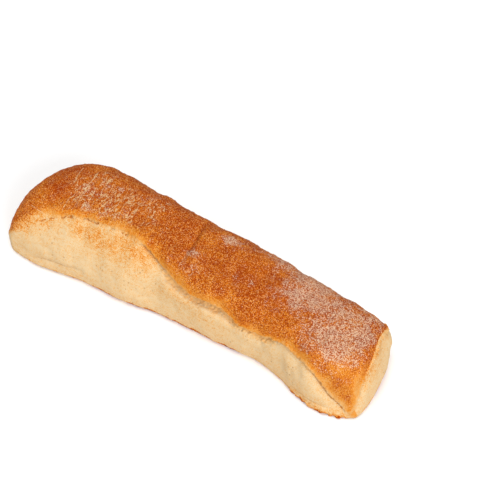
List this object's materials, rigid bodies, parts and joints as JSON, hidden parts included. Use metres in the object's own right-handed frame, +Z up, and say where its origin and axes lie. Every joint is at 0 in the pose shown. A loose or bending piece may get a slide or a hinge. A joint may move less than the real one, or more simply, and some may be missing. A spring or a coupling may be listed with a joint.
{
  "type": "baguette roll",
  "caption": "Long bread roll with a domed browned crust over pale bulging sides, rounded at its left end and nearly square at the right, flat underneath to rest on.",
  "frame": {"origin": "on the floor under the middle of the roll's bounding box", "axes": "+X along the roll towards its square end, +Z up, -Y towards the side with the broad pale wall"},
  "size_m": [0.2584, 0.0786, 0.0429],
  "materials": {
    "bread": "matt browned crust with thin flour, pale cream along the sides where rolls touched in the oven"
  },
  "bodies": {
    "root": {"roll": "bread"}
  },
  "joints": []
}
